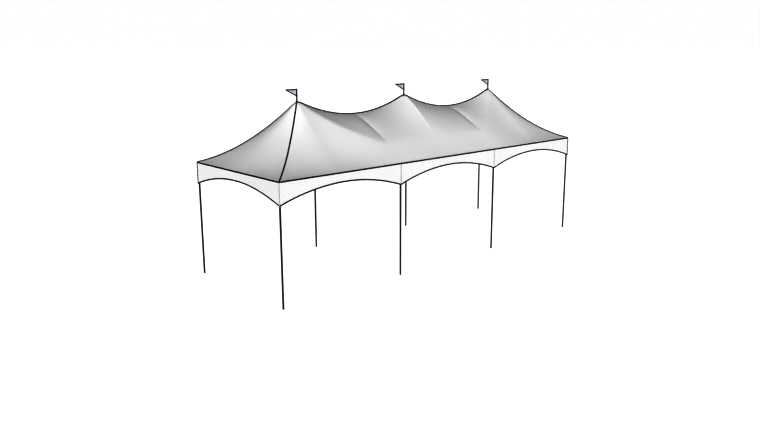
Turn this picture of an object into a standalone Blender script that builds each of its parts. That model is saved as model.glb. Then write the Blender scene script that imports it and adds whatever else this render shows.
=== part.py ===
"""High peak frame tent: three square bays in a row, each with a mast held up by crossed cables.

Units are metres. +X runs along the tent, +Y from the front to the back, +Z up, and the origin is on
the ground under the middle of the tent.
"""

import math

import bmesh
import bpy
from mathutils import Matrix, Vector

# Driving dimensions of the whole tent
BAY = 3.048
WIDTH = 3.048
HALF = WIDTH / 2
LENGTH = 3 * BAY
EAVE_HEIGHT = 2.438
PEAK_HEIGHT = 3.730
SADDLE_HEIGHT = 3.373
HIP_SAG = 0.195
VALANCE_AT_LEG = 1.980
VALANCE_AT_MIDDLE = 2.243

# Stock sizes
TUBE_RADIUS = 0.016
TUBE_BORE = 0.014
SPIGOT_RADIUS = 0.0132
FABRIC = 0.003
SEAT = 0.0003
TUBE_SIDES = 16

# Where the tubes run: just inside the fabric, and under its fold over the eave
INSET = FABRIC + SEAT + TUBE_RADIUS
EDGE_DROP = 0.0105
BEAM_LINE_HEIGHT = EAVE_HEIGHT + EDGE_DROP
BEAM_HEIGHT = BEAM_LINE_HEIGHT - 0.023
LEG_Y = HALF - INSET
END_LEG_X = LENGTH / 2 - INSET
SIDE_LEG_X = BAY / 2
LEG_XS = (-END_LEG_X, -SIDE_LEG_X, SIDE_LEG_X, END_LEG_X)
PEAK_XS = {"left": -BAY, "middle": 0.0, "right": BAY}

# Roof form
INNER = HALF - INSET
RISE = PEAK_HEIGHT - BEAM_LINE_HEIGHT
RIDGE_SAG = PEAK_HEIGHT - SADDLE_HEIGHT
TIP_ROUNDING = 0.020
TIP_REACH = 0.060
TIP_HEIGHT = PEAK_HEIGHT - TIP_ROUNDING
SLOPE_EASE = 0.20
END_SAG = 0.055
VALLEY_BULGE = 0.050
PEAK_FOLD = 0.03
HIP_FOLD = 0.30
HIP_FOLD_REACH = 0.60
VALLEY_END = 0.29
VALLEY_DROP = 1.25
VALLEY_EDGE = 0.12
FOLD_SPREAD = 0.7
GROOVE_DEPTH = 0.045
GROOVE_WIDTH = 0.14
ROOF_LINES = 11
ROOF_CROWDING = 1.4
SEAM_GAP = 0.0003
ARCH_STEPS = 14

# Corner and side fittings
COLLAR_REACH = 0.055
SPIGOT_REACH = 0.160
KNUCKLE_RADIUS = 0.0156
LUG_HOLE_REACH = 0.068
LUG_RADIUS = 0.015
LUG_HOLE_RADIUS = 0.0055
LUG_THICKNESS = 0.006

# Legs
LEG_TOP = BEAM_HEIGHT - COLLAR_REACH - SEAT
FOOT_RADIUS = 0.019
FOOT_THICKNESS = 0.008

# Masts and the cables that carry them
RING_HEIGHT = 2.180
RING_THICKNESS = 0.012
RING_RADIUS = 0.070
RING_BORE = 0.0168
MAST_FOOT = 2.110
FLANGE_RADIUS = 0.030
FLANGE_THICKNESS = 0.012
HEAD_RADIUS = 0.035
HEAD_SLOPE = 1.05
HEAD_RIM = 0.012
HEAD_TAPER = 0.030
PLUG_LENGTH = 0.090
CABLE_RADIUS = 0.004
CABLE_SIDES = 8
JAW_RADIUS = 0.009
JAW_START = 0.030
JAW_END = 0.062
EAR_GAP = 0.0004
EAR_THICKNESS = 0.005
EAR_BACK = 0.012
EAR_HALF_HEIGHT = 0.009
PIN_RADIUS = 0.0045

# Finials and pennants
ROD_RADIUS = 0.008
ROD_BORE = 0.0088
CAP_RADIUS = 0.034
CAP_HEIGHT = 0.016
BALL_RADIUS = 0.011
STOP_RADIUS = 0.0125
STOP_THICKNESS = 0.004
SPIGOT_DEPTH = 0.075
SKIN_HOLE_RADIUS = 0.0115
PENNANT_TOP = 3.977
PENNANT_HEIGHT = 0.152
PENNANT_LENGTH = 0.268
PENNANT_CLOTH = 0.003
SLEEVE_RADIUS = 0.0112

COLOURS = {
    "tube": ((0.035, 0.036, 0.040), 0.42, 0.6),
    "fitting": ((0.055, 0.056, 0.060), 0.50, 0.6),
    "cable": ((0.55, 0.56, 0.58), 0.35, 1.0),
    "roof": ((0.80, 0.80, 0.80), 0.55, 0.0),
    "valance": ((0.90, 0.90, 0.90), 0.55, 0.0),
    "pennant": ((0.42, 0.42, 0.52), 0.80, 0.0),
}


def clear_scene():
    for old in list(bpy.data.objects):
        bpy.data.objects.remove(old)


def material(name):
    """The finish of one kind of piece, made once."""
    found = bpy.data.materials.get(name)
    if found:
        return found
    colour, roughness, metallic = COLOURS[name]
    made = bpy.data.materials.new(name)
    made.use_nodes = True
    shader = made.node_tree.nodes["Principled BSDF"]
    shader.inputs["Base Color"].default_value = (*colour, 1.0)
    shader.inputs["Roughness"].default_value = roughness
    shader.inputs["Metallic"].default_value = metallic
    return made


def collection(name):
    found = bpy.data.collections.get(name)
    if found:
        return found
    made = bpy.data.collections.new(name)
    bpy.context.scene.collection.children.link(made)
    return made


def place(name, mesh, finish, matrix=None):
    """A sub-part of the tent: a named object with its own finish."""
    made = bpy.data.objects.new(name, mesh)
    collection("high_peak_tent").objects.link(made)
    if not mesh.materials:
        mesh.materials.append(material(finish))
    made.matrix_world = matrix or Matrix.Identity(4)
    return made


def helper(mesh, matrix=None):
    """A shape that only lends itself to a Boolean or a modifier."""
    made = bpy.data.objects.new("helper", mesh)
    collection("cutters").objects.link(made)
    made.hide_render = True
    made.display_type = "WIRE"
    made.matrix_world = matrix or Matrix.Identity(4)
    return made


def finished(shape, weld=0.0):
    """The mesh of a helper with its modifiers applied, smooth shaded. The helper is removed."""
    bpy.context.view_layer.update()
    graph = bpy.context.evaluated_depsgraph_get()
    mesh = bpy.data.meshes.new_from_object(shape.evaluated_get(graph))
    mesh.transform(shape.matrix_world)
    bpy.data.objects.remove(shape)
    if weld:
        bm = bmesh.new()
        bm.from_mesh(mesh)
        bmesh.ops.remove_doubles(bm, verts=bm.verts, dist=weld)
        bm.to_mesh(mesh)
        bm.free()
    mesh.shade_smooth()
    mesh.set_sharp_from_angle(angle=math.radians(35))
    return mesh


def fused(meshes):
    """One solid from several overlapping ones."""
    first = helper(meshes[0])
    tools = bpy.data.collections.new("tools")
    collection("cutters").children.link(tools)
    others = []
    for mesh in meshes[1:]:
        other = helper(mesh)
        tools.objects.link(other)
        others.append(other)
    join = first.modifiers.new("union", "BOOLEAN")
    join.operation = "UNION"
    join.operand_type = "COLLECTION"
    join.collection = tools
    mesh = finished(first)
    for other in others:
        bpy.data.objects.remove(other)
    bpy.data.collections.remove(tools)
    return mesh


def turned(profile, closed, sides=TUBE_SIDES):
    """A turned solid from (radius, height) points that run down its outer side."""
    mesh = bpy.data.meshes.new("turned")
    points = [(radius, 0.0, height) for radius, height in profile]
    edges = [(i, i + 1) for i in range(len(points) - 1)]
    if closed:
        edges.append((len(points) - 1, 0))
    mesh.from_pydata(points, edges, [])
    shape = helper(mesh)
    screw = shape.modifiers.new("screw", "SCREW")
    screw.steps = sides
    screw.render_steps = sides
    screw.use_merge_vertices = True
    screw.merge_threshold = 0.00001
    return finished(shape)


def tube(outer, bore, low, high):
    profile = [(outer, high), (outer, low), (bore, low), (bore, high)]
    return turned(profile, closed=True)


def bar(start, end, radius, sides=TUBE_SIDES):
    """A round bar from one point to another."""
    start, end = Vector(start), Vector(end)
    bm = bmesh.new()
    bmesh.ops.create_cone(
        bm, cap_ends=True, segments=sides, radius1=radius, radius2=radius, depth=(end - start).length
    )
    turn = (end - start).to_track_quat("Z", "Y").to_matrix().to_4x4()
    bm.transform(Matrix.Translation((start + end) / 2) @ turn)
    mesh = bpy.data.meshes.new("bar")
    bm.to_mesh(mesh)
    bm.free()
    return mesh


def block(low, high):
    """A box between two corners."""
    low, high = Vector(low), Vector(high)
    bm = bmesh.new()
    bmesh.ops.create_cube(bm, size=1.0)
    bm.transform(Matrix.Translation((low + high) / 2) @ Matrix.Diagonal((*(high - low), 1.0)))
    mesh = bpy.data.meshes.new("block")
    bm.to_mesh(mesh)
    bm.free()
    return mesh


def ball(centre, radius):
    bm = bmesh.new()
    bmesh.ops.create_uvsphere(bm, u_segments=TUBE_SIDES, v_segments=8, radius=radius)
    bm.transform(Matrix.Translation(centre))
    mesh = bpy.data.meshes.new("ball")
    bm.to_mesh(mesh)
    bm.free()
    return mesh


def plate(outlines, thickness):
    """A flat plate in the XY plane, centred on it, from its outline and the outlines of its holes."""
    curve = bpy.data.curves.new("plate", "CURVE")
    curve.dimensions = "2D"
    curve.fill_mode = "BOTH"
    curve.extrude = thickness / 2
    for outline in outlines:
        spline = curve.splines.new("POLY")
        spline.points.add(len(outline) - 1)
        for point, (x, y) in zip(spline.points, outline):
            point.co = (x, y, 0.0, 1.0)
        spline.use_cyclic_u = True
    return finished(helper(curve), weld=0.00001)


def circle(radius, steps, centre=(0.0, 0.0), start=0.0, sweep=math.tau):
    """Points of an arc, without its last point when it is a full turn."""
    last = 0 if math.isclose(sweep, math.tau) else 1
    angles = [start + sweep * i / steps for i in range(steps + last)]
    return [(centre[0] + radius * math.cos(a), centre[1] + radius * math.sin(a)) for a in angles]


def make_legs():
    """Eight tube legs, each closed by a round foot welded to its lower end."""
    mesh = turned(
        [
            (0.0, FOOT_THICKNESS),
            (TUBE_BORE, FOOT_THICKNESS),
            (TUBE_BORE, LEG_TOP),
            (TUBE_RADIUS, LEG_TOP),
            (TUBE_RADIUS, FOOT_THICKNESS),
            (FOOT_RADIUS, FOOT_THICKNESS),
            (FOOT_RADIUS, 0.0),
            (0.0, 0.0),
        ],
        closed=False,
    )
    for row, y in (("front", -LEG_Y), ("back", LEG_Y)):
        for number, x in enumerate(LEG_XS, start=1):
            place(f"leg_{row}_{number}", mesh, "tube", Matrix.Translation((x, y, 0)))


def lug(direction):
    """An upright plate with a hole, reaching out from the middle of a fitting."""
    outline = [(0.0, LUG_RADIUS), (0.0, -LUG_RADIUS)]
    outline += circle(LUG_RADIUS, 8, (LUG_HOLE_REACH, 0.0), start=-math.pi / 2, sweep=math.pi)
    hole = circle(LUG_HOLE_RADIUS, 12, (LUG_HOLE_REACH, 0.0))
    mesh = plate([outline, hole], LUG_THICKNESS)
    mesh.transform(Matrix.Rotation(math.pi / 2, 4, "X"))
    mesh.transform(Matrix.Rotation(math.atan2(direction[1], direction[0]), 4, "Z"))
    return mesh


def fitting(arms, lugs):
    """A cast fitting: a knuckle, a collar and an inner spigot for each tube, and cable lugs."""
    shapes = [ball((0, 0, 0), KNUCKLE_RADIUS)]
    for arm in arms:
        direction = Vector(arm)
        shapes.append(bar((0, 0, 0), direction * COLLAR_REACH, TUBE_RADIUS))
        shapes.append(bar(direction * COLLAR_REACH * 0.5, direction * SPIGOT_REACH, SPIGOT_RADIUS))
    shapes += [lug(direction) for direction in lugs]
    return fused(shapes)


def cable_heading(leg_x, peak_x):
    """The level direction from a front fitting to a mast."""
    return Vector((peak_x - leg_x, LEG_Y, 0)).normalized()


def make_fittings():
    corner = fitting(
        arms=[(1, 0, 0), (0, 1, 0), (0, 0, -1)],
        lugs=[cable_heading(-END_LEG_X, -BAY)],
    )
    side = fitting(
        arms=[(1, 0, 0), (-1, 0, 0), (0, 1, 0), (0, 0, -1)],
        lugs=[cable_heading(-SIDE_LEG_X, -BAY), cable_heading(-SIDE_LEG_X, 0.0)],
    )
    corners = {
        "front_left": (-END_LEG_X, -LEG_Y, 0),
        "front_right": (END_LEG_X, -LEG_Y, 90),
        "back_right": (END_LEG_X, LEG_Y, 180),
        "back_left": (-END_LEG_X, LEG_Y, 270),
    }
    sides = {
        "front_left": (-SIDE_LEG_X, -LEG_Y, 0),
        "front_right": (SIDE_LEG_X, -LEG_Y, 0),
        "back_right": (SIDE_LEG_X, LEG_Y, 180),
        "back_left": (-SIDE_LEG_X, LEG_Y, 180),
    }
    for kind, mesh, spots in (("corner", corner, corners), ("side", side, sides)):
        for spot, (x, y, turn) in spots.items():
            matrix = Matrix.Translation((x, y, BEAM_HEIGHT)) @ Matrix.Rotation(math.radians(turn), 4, "Z")
            place(f"{kind}_fitting_{spot}", mesh, "fitting", matrix)


def span_tube(start, end):
    """A tube between the collars of the fittings at two points."""
    start, end = Vector(start), Vector(end)
    clear = COLLAR_REACH + SEAT
    mesh = tube(TUBE_RADIUS, TUBE_BORE, clear, (end - start).length - clear)
    mesh.transform(Matrix.Translation(start) @ (end - start).to_track_quat("Z", "Y").to_matrix().to_4x4())
    return mesh


def make_beams():
    """Eave beams round the tent, and a crossbar between each pair of side legs."""
    for row, y in (("front", -LEG_Y), ("back", LEG_Y)):
        for bay, low, high in zip(("left", "middle", "right"), LEG_XS[:-1], LEG_XS[1:]):
            mesh = span_tube((low, y, BEAM_HEIGHT), (high, y, BEAM_HEIGHT))
            place(f"eave_beam_{row}_{bay}", mesh, "tube")
    across = {
        "eave_beam_left": -END_LEG_X,
        "crossbar_left": -SIDE_LEG_X,
        "crossbar_right": SIDE_LEG_X,
        "eave_beam_right": END_LEG_X,
    }
    for name, x in across.items():
        place(name, span_tube((x, -LEG_Y, BEAM_HEIGHT), (x, LEG_Y, BEAM_HEIGHT)), "tube")


def make_masts():
    """A tube mast in each bay: foot, flange that sits on the cable ring, and a coned head."""
    head_top = TIP_HEIGHT - FABRIC - 2 * SEAT
    rim_top = head_top - HEAD_SLOPE * HEAD_RADIUS
    flange_low = RING_HEIGHT + RING_THICKNESS / 2 + SEAT
    flange_high = flange_low + FLANGE_THICKNESS
    plug_low = head_top - PLUG_LENGTH
    mesh = turned(
        [
            (ROD_BORE, head_top - HEAD_SLOPE * ROD_BORE),
            (HEAD_RADIUS, rim_top),
            (HEAD_RADIUS, rim_top - HEAD_RIM),
            (TUBE_RADIUS, rim_top - HEAD_RIM - HEAD_TAPER),
            (TUBE_RADIUS, flange_high),
            (FLANGE_RADIUS, flange_high),
            (FLANGE_RADIUS, flange_low),
            (TUBE_RADIUS, flange_low),
            (TUBE_RADIUS, MAST_FOOT),
            (TUBE_BORE, MAST_FOOT),
            (TUBE_BORE, plug_low),
            (ROD_BORE, plug_low),
        ],
        closed=True,
    )
    for bay, x in PEAK_XS.items():
        place(f"mast_{bay}", mesh, "tube", Matrix.Translation((x, 0, 0)))


def cable_with_jaw(anchor, ring_centre):
    """One cable as a list of overlapping solids: from its jaw on a fitting's lug to the ring."""
    anchor, ring_centre = Vector(anchor), Vector(ring_centre)
    level = (ring_centre - anchor).to_2d().normalized()
    end = ring_centre - Vector((*level, 0)) * (RING_RADIUS - 2 * CABLE_RADIUS)
    length = (end - anchor).length
    turn = (end - anchor).to_track_quat("X", "Z").to_matrix().to_4x4()
    ear_inner = LUG_THICKNESS / 2 + EAR_GAP
    ear_outer = ear_inner + EAR_THICKNESS
    ear_end = JAW_START + JAW_RADIUS
    shapes = [
        bar((ear_end, 0, 0), (length, 0, 0), CABLE_RADIUS, CABLE_SIDES),
        bar((JAW_START, 0, 0), (JAW_END, 0, 0), JAW_RADIUS, CABLE_SIDES),
        bar((0, -ear_outer - SEAT * 5, 0), (0, ear_outer + SEAT * 5, 0), PIN_RADIUS, CABLE_SIDES),
        block((-EAR_BACK, ear_inner, -EAR_HALF_HEIGHT), (ear_end, ear_outer, EAR_HALF_HEIGHT)),
        block((-EAR_BACK, -ear_outer, -EAR_HALF_HEIGHT), (ear_end, -ear_inner, EAR_HALF_HEIGHT)),
    ]
    for shape in shapes:
        shape.transform(Matrix.Translation(anchor) @ turn)
    return shapes


def lug_hole(leg_x, leg_y, peak_x):
    """Where a cable's pin goes through the lug of the fitting on one leg."""
    level = Vector((peak_x - leg_x, -leg_y, 0)).normalized()
    return Vector((leg_x, leg_y, BEAM_HEIGHT)) + level * LUG_HOLE_REACH


def make_cables():
    """In each bay a ring round the mast's foot, hung by four cables from the fittings."""
    for index, (bay, peak_x) in enumerate(PEAK_XS.items()):
        low = RING_HEIGHT - RING_THICKNESS / 2
        ring = tube(RING_RADIUS, RING_BORE, low, low + RING_THICKNESS)
        ring.transform(Matrix.Translation((peak_x, 0, 0)))
        shapes = [ring]
        for leg_x in LEG_XS[index : index + 2]:
            for leg_y in (-LEG_Y, LEG_Y):
                anchor = lug_hole(leg_x, leg_y, peak_x)
                shapes += cable_with_jaw(anchor, (peak_x, 0, RING_HEIGHT))
        place(f"cross_cables_{bay}", fused(shapes), "cable")


def make_finials():
    """On each peak a cap, a flag rod through the skin into the mast, a stop ring and a ball."""
    cap_low = TIP_HEIGHT + SEAT * 2
    stop_high = PENNANT_TOP - PENNANT_HEIGHT - SEAT
    ball_height = PENNANT_TOP + SEAT + BALL_RADIUS * 0.8
    ball_arc = circle(BALL_RADIUS, 6, (0.0, ball_height), start=math.pi / 2, sweep=-math.radians(135))
    profile = [(0.0, ball_arc[0][1]), *ball_arc[1:]]
    profile += [
        (ROD_RADIUS, PENNANT_TOP + SEAT * 2),
        (ROD_RADIUS, stop_high),
        (STOP_RADIUS, stop_high),
        (STOP_RADIUS, stop_high - STOP_THICKNESS),
        (ROD_RADIUS, stop_high - STOP_THICKNESS),
        (ROD_RADIUS, cap_low + 3 * CAP_HEIGHT),
        (ROD_RADIUS * 1.6, cap_low + CAP_HEIGHT),
        (CAP_RADIUS, cap_low + CAP_HEIGHT / 4),
        (CAP_RADIUS, cap_low),
        (ROD_RADIUS, cap_low),
        (ROD_RADIUS, cap_low - SPIGOT_DEPTH),
        (0.0, cap_low - SPIGOT_DEPTH),
    ]
    mesh = turned(profile, closed=False)
    for bay, x in PEAK_XS.items():
        place(f"finial_{bay}", mesh, "fitting", Matrix.Translation((x, 0, 0)))


def make_pennants():
    """A triangular pennant on a sleeve that turns on each flag rod, its origin on the rod's axis."""
    low = PENNANT_TOP - PENNANT_HEIGHT
    sleeve = tube(SLEEVE_RADIUS, ROD_BORE, 0.0, PENNANT_HEIGHT)
    luff = (ROD_BORE + SLEEVE_RADIUS) / 2
    hem = 0.002
    outline = [(-luff, hem), (-luff, PENNANT_HEIGHT - hem), (-PENNANT_LENGTH, PENNANT_HEIGHT - hem)]
    cloth = plate([outline], PENNANT_CLOTH)
    cloth.transform(Matrix.Rotation(math.pi / 2, 4, "X"))
    mesh = fused([sleeve, cloth])
    for bay, x in PEAK_XS.items():
        place(f"pennant_{bay}", mesh, "pennant", Matrix.Translation((x, 0, low)))


def smooth_step(low, high, value):
    share = min(max((value - low) / (high - low), 0.0), 1.0)
    return share * share * (3 - 2 * share)


def eased(distance, reach, radius):
    """A distance from 0 to reach whose start is rounded off by a radius."""
    flat = math.hypot(distance, radius) - radius
    return reach * flat / (math.hypot(reach, radius) - radius)


def slope_share(share, sag):
    """Share of the rise reached at a share of the run up a slope."""
    return share - share * (1 - share) * (4 * sag + SLOPE_EASE * (1 - 2 * share))


def soft_ramp(value, radius):
    """Zero below zero and the value above it, with the corner rounded off."""
    return (value + math.hypot(value, radius)) / 2


def valley_dip(run, share, outer_bay):
    """How far the valley pulls the skin down, run being 0 over a mast and 1 in the valley.

    The valley comes down from the saddle and ends part way down the slope. In an outer bay the skin
    folds down from a straight line between its peak and that end.
    """
    reach = soft_ramp((share - VALLEY_END) / (1 - VALLEY_END), 0.05)
    groove = 4 * GROOVE_DEPTH * reach * (1 - reach) * math.exp((run - 1) * HALF / GROOVE_WIDTH)
    if outer_bay:
        width = min(max(reach, 0.02), 1.0) ** FOLD_SPREAD
        rounding = 0.01 + VALLEY_EDGE * (1 - width)
        edge = soft_ramp(-(1 - width) / width, rounding)
        run = (soft_ramp((run - 1 + width) / width, rounding) - edge) / (soft_ramp(1.0, rounding) - edge)
    run = min(run, 1.0)
    hung = RIDGE_SAG * reach**VALLEY_DROP * (1 - (1 - run) ** 2)
    return hung + max(groove, 0.0)


def roof_height(dx, dy, hipped, outer_bay):
    """Height of the skin over a point dx along and dy across from a peak, on a hipped end or not."""
    along, across = abs(dx), abs(dy)
    outward = max(along, across) if hipped else across
    if outward > INNER:
        return BEAM_LINE_HEIGHT - EDGE_DROP * (outward - INNER) / INSET
    share = 1 - outward / INNER
    sag, dip = END_SAG, 0.0
    if hipped:
        rounding = PEAK_FOLD + HIP_FOLD * smooth_step(0, HIP_FOLD_REACH, 1 - share)
        sideways = eased(min(along, across), outward, rounding) if outward > 0 else 0.0
        top = 1 - sideways / INNER
        run = (INNER - outward) / (INNER - sideways) if sideways < INNER else 0.0
        rise = RISE * top - 4 * HIP_SAG * top * (1 - top)
    else:
        toward_valley = along / HALF
        if outer_bay:
            sag -= (END_SAG + VALLEY_BULGE) * smooth_step(0, 1, toward_valley)
        else:
            sag = -VALLEY_BULGE
        rise, run = RISE, share
        dip = valley_dip(toward_valley, share, outer_bay)
    tip = TIP_ROUNDING * math.exp(-((along**2 + across**2) / TIP_REACH**2))
    return BEAM_LINE_HEIGHT + rise * slope_share(run, sag) - dip - tip


def grid_line(position):
    """Distance from the peak of a grid line given from -1 to 1: crowded at the peak, one on the beam."""
    number = round(abs(position) * ROOF_LINES)
    if number == ROOF_LINES:
        return math.copysign(HALF, position)
    return math.copysign(INNER * (number / (ROOF_LINES - 1)) ** ROOF_CROWDING, position)


def roof_surface(hipped_side):
    """The open skin over one bay. hipped_side is -1, 0 or 1: the end whose slope is hipped."""
    bm = bmesh.new()
    bmesh.ops.create_grid(bm, x_segments=2 * ROOF_LINES, y_segments=2 * ROOF_LINES, size=1.0)
    for vertex in bm.verts:
        dx, dy = grid_line(vertex.co.x), grid_line(vertex.co.y)
        hipped = hipped_side != 0 and dx * hipped_side >= 0
        height = roof_height(dx, dy, hipped, hipped_side != 0)
        is_valley = math.isclose(abs(dx), HALF) and not (hipped_side != 0 and dx * hipped_side > 0)
        if is_valley:
            dx -= math.copysign(SEAM_GAP / 2, dx)
        vertex.co = (dx, dy, height)
    bm.verts.ensure_lookup_table()
    if hipped_side:
        hipped_half = [v for v in bm.verts if v.co.x * hipped_side > 0]
        on_hip = [v for v in hipped_half if math.isclose(abs(v.co.x), abs(v.co.y), abs_tol=1e-6)]
        peak = min(bm.verts, key=lambda v: v.co.x**2 + v.co.y**2)
        bmesh.ops.connect_verts(bm, verts=[*on_hip, peak])
    mesh = bpy.data.meshes.new("roof_surface")
    bm.to_mesh(mesh)
    bm.free()
    return mesh


def make_roof():
    """The skin in three sections that meet in the valleys, each with a hole for its flag rod."""
    low, high = TIP_HEIGHT - HEAD_RADIUS, TIP_HEIGHT + HEAD_RADIUS
    rod_hole = helper(bar((0, 0, low), (0, 0, high), SKIN_HOLE_RADIUS))
    for bay, hipped_side in (("left", -1), ("middle", 0), ("right", 1)):
        skin = helper(roof_surface(hipped_side))
        shell = skin.modifiers.new("thickness", "SOLIDIFY")
        shell.thickness = FABRIC
        shell.offset = -1.0
        cut = skin.modifiers.new("rod hole", "BOOLEAN")
        cut.operation = "DIFFERENCE"
        cut.object = rod_hole
        place(f"roof_{bay}", finished(skin), "roof", Matrix.Translation((PEAK_XS[bay], 0, 0)))
    bpy.data.objects.remove(rod_hole)


def arch_height(share):
    """Height of a valance's lower edge at a share of the way from one leg to the next."""
    return VALANCE_AT_MIDDLE - (VALANCE_AT_MIDDLE - VALANCE_AT_LEG) * (2 * share - 1) ** 2


def valance(bays, half_length):
    """An upright valance along X with an arch for each bay. The outer bays may be cut a little short."""
    top = EAVE_HEIGHT - FABRIC - SEAT
    low = -bays * BAY / 2
    steps = bays * ARCH_STEPS
    outline = []
    for step in range(steps + 1):
        x = min(max(low + BAY * step / ARCH_STEPS, -half_length), half_length)
        outline.append((x, arch_height((step % ARCH_STEPS) / ARCH_STEPS)))
    outline += [(half_length, top), (-half_length, top)]
    mesh = plate([outline], FABRIC)
    mesh.transform(Matrix.Rotation(math.pi / 2, 4, "X"))
    return mesh


def make_valances():
    """Valances hung outside the beams: whole along the front and back, and between those at the ends."""
    long_side = valance(3, LENGTH / 2)
    short_side = valance(1, HALF - FABRIC - SEAT)
    middle = FABRIC / 2
    quarter = Matrix.Rotation(math.pi / 2, 4, "Z")
    place("valance_front", long_side, "valance", Matrix.Translation((0, middle - HALF, 0)))
    place("valance_back", long_side, "valance", Matrix.Translation((0, HALF - middle, 0)))
    place("valance_left", short_side, "valance", Matrix.Translation((middle - LENGTH / 2, 0, 0)) @ quarter)
    place("valance_right", short_side, "valance", Matrix.Translation((LENGTH / 2 - middle, 0, 0)) @ quarter)


def main():
    clear_scene()
    make_legs()
    make_fittings()
    make_beams()
    make_masts()
    make_cables()
    make_finials()
    make_pennants()
    make_roof()
    make_valances()


main()
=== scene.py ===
"""Looks of the high peak frame tent: fabric, webbing, wire rope and hardware over the CAD frame.

Units are metres in the CAD's frame: +X along the tent, +Y to the back, +Z up, the origin on the ground
under the middle of the tent.
"""

import math

import bmesh
import bpy
from mathutils import Matrix, Vector


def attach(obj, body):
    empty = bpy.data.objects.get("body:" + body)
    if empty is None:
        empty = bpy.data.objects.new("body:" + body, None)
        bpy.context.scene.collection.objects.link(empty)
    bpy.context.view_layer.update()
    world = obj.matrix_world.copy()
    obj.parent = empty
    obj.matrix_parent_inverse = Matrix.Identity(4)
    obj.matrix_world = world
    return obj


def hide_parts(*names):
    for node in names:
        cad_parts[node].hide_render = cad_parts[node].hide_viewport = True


# The tent's main sizes, as in the CAD. The bays are square, so HALF is also half the tent's width
BAY = 3.048
HALF = BAY / 2
HALF_LENGTH = 3 * HALF
EAVE_HEIGHT = 2.438
PEAK_HEIGHT = 3.730
SADDLE_HEIGHT = 3.373
HIP_SAG = 0.195
VALANCE_AT_LEG = 1.980
VALANCE_AT_MIDDLE = 2.243
ARCH_RISE = VALANCE_AT_MIDDLE - VALANCE_AT_LEG

# Where the tubes run: just inside the CAD's fabric, and under its fold over the eave
TUBE_RADIUS = 0.016
CAD_THICKNESS = 0.003
SEAT = 0.0003
INSET = CAD_THICKNESS + SEAT + TUBE_RADIUS
EDGE_DROP = 0.0105
BEAM_DROP = 0.023
BEAM_LINE_HEIGHT = EAVE_HEIGHT + EDGE_DROP
BEAM_HEIGHT = BEAM_LINE_HEIGHT - BEAM_DROP
LEG_Y = HALF - INSET
LEG_XS = (-HALF_LENGTH + INSET, -HALF, HALF, HALF_LENGTH - INSET)
PEAK_XS = {"left": -BAY, "middle": 0.0, "right": BAY}

# The roof's form, as in the CAD
INNER = HALF - INSET
RISE = PEAK_HEIGHT - BEAM_LINE_HEIGHT
RIDGE_SAG = PEAK_HEIGHT - SADDLE_HEIGHT
TIP_ROUNDING = 0.020
TIP_REACH = 0.060
TIP_HEIGHT = PEAK_HEIGHT - TIP_ROUNDING
SLOPE_EASE = 0.20
END_SAG = 0.055
VALLEY_BULGE = 0.050
PEAK_FOLD = 0.03
HIP_FOLD = 0.30
HIP_FOLD_REACH = 0.60
VALLEY_END = 0.29
VALLEY_ROUNDING = 0.05
VALLEY_DROP = 1.25
VALLEY_EDGE = 0.12
VALLEY_EDGE_LEAST = 0.01
FOLD_SPREAD = 0.7
FOLD_LEAST = 0.02
GROOVE_DEPTH = 0.045
GROOVE_WIDTH = 0.14

# Cable rings, rods and pennants, as in the CAD
RING_HEIGHT = 2.180
RING_RADIUS = 0.070
RING_BORE = 0.0168
RING_HALF = 0.006
LUG_HOLE_REACH = 0.068
PIN_RADIUS = 0.0045
PENNANT_TOP = 3.977
PENNANT_HEIGHT = 0.152
PENNANT_LENGTH = 0.268
SLEEVE_BORE = 0.0088

# The skin as it is shown: its thickness, its number of grid lines, and how they crowd towards the peak
SKIN_THICKNESS = 0.0012
SKIN_LINES = 46
SKIN_CROWDING = 1.2

# Straps and beads on the skin. Those on a hip start beside its peak and stop short of its corner
TRIM_THICKNESS = 0.0012
RIDGE_TAPE_WIDTH = 0.028
HIP_TAPE_WIDTH = 0.024
RIDGE_STEPS = 500
HIP_STEPS = 180
BEAD_RADIUS = 0.009
BEAD_LIFT = 0.6 * BEAD_RADIUS
BEAD_SIDES = 12
BEAD_STEPS = 200
RIDGE_BEAD_START = 0.020
HIP_START = 0.0115
HIP_STOP = 0.004

# Strips welded under the valley joints, and patches welded at the peaks
WELD_THICKNESS = 0.0008
WELD_WIDTH = 0.024
WELD_OFFSET = 0.014
WELD_STEPS = 140
PATCH_BORE = 0.013
PATCH_REACH = 0.135
PATCH_LIFT = 0.0007
PATCH_RINGS = 12
PATCH_SIDES = 72

# Webbing over the eave and the arches, and the valances
EAVE_BAND_DROP = 0.014
EAVE_BAND_REACH = 0.011
EAVE_BAND_LIFT = 0.0002
ARCH_BAND_WIDTH = 0.022
ARCH_BAND_HALF_DEPTH = 0.0018
ARCH_BAND_WRAP = 0.001
ARCH_STEPS = 48
CLOTH_ROWS = 8
CLOTH_TOP = EAVE_HEIGHT - 0.004
RIPPLE = 0.003
RIPPLES_IN_BAY = 2
SEAM_TAPE_HALF_WIDTH = 0.0080
SEAM_TAPE_HALF_DEPTH = 0.0012
THIN_CORD_RADIUS = 0.0060
THICK_CORD_RADIUS = 0.0085

# Pennants and their rods. FLAG_CUT is how much of a pennant's height its lower edge climbs by the fly, and
# the cloth hangs still at the rod and sways fully from FLAG_FREE of its length on
FLAG_THICKNESS = 0.0008
FLAG_STEPS = 32
FLAG_ROWS = 12
FLAG_END = 0.995
FLAG_CUT = 0.90
FLAG_MARGIN = 0.002
FLAG_FROM_ROD = 0.0105
FLAG_SWAY = 0.0045
FLAG_FREE = 0.35
SWAY_ALONG = 7.5
SWAY_UP = 1.2
BINDING_WIDTH = 0.020
BINDING_HALF_DEPTH = 0.0012
SLEEVE_RADIUS = 0.0135
ROD_RADIUS = 0.0082
ROD_END_HEIGHT = 0.003
CAP_LIFT = 0.0006

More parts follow.
